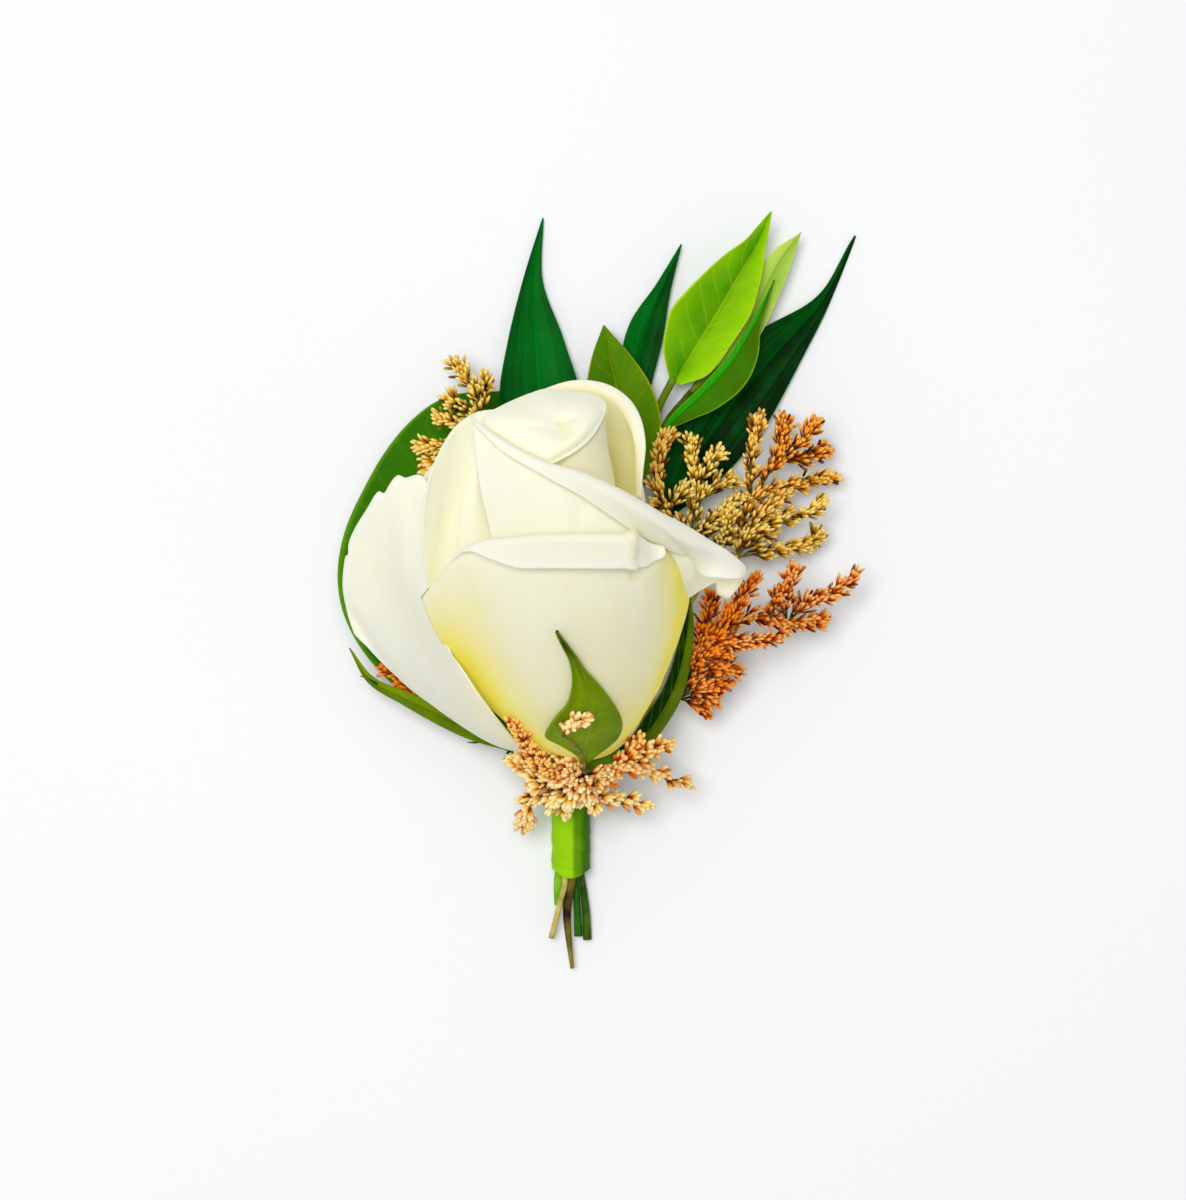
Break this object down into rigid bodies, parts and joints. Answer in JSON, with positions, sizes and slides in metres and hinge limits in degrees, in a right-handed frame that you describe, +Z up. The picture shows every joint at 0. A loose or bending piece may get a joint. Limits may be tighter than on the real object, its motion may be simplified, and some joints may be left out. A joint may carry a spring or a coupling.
{
  "type": "boutonniere",
  "caption": "White rose boutonniere lying flat: a half-open rose with leaves and dried filler sprays behind it, stems bound in green floral tape.",
  "frame": {"origin": "centre of the part's footprint on the surface that it lies on", "axes": "+Z up from that surface, +Y from the cut stems to the leaf tips, +X to the right as the rose is seen from above"},
  "size_m": [0.0803, 0.1128, 0.0515],
  "materials": {
    "petal": "soft, slightly waxy petal, creamy white with yellow in the folds",
    "calyx": "matt green sepal and stem, brown at the cut",
    "broad_leaf": "satin dark green leaf",
    "dark_leaf": "satin very dark green leaf",
    "light_leaf": "satin bright yellow-green leaf",
    "tape": "waxed crepe tape, satin",
    "filler_tan": "dry, papery, tan with cream tips",
    "filler_orange": "dry, papery, rust orange",
    "filler_cream": "dry, papery, golden cream"
  },
  "bodies": {
    "root": {"rose_bloom": "petal", "rose_stem_calyx": "calyx", "broad_leaf": "broad_leaf", "dark_sprig": "dark_leaf", "light_sprig": "light_leaf", "tape_wrap": "tape", "spray_upper_right": "filler_tan", "spray_lower_right": "filler_orange", "spray_upper_left": "filler_tan", "spray_lower_left": "filler_orange", "spray_neck": "filler_cream"}
  },
  "joints": []
}
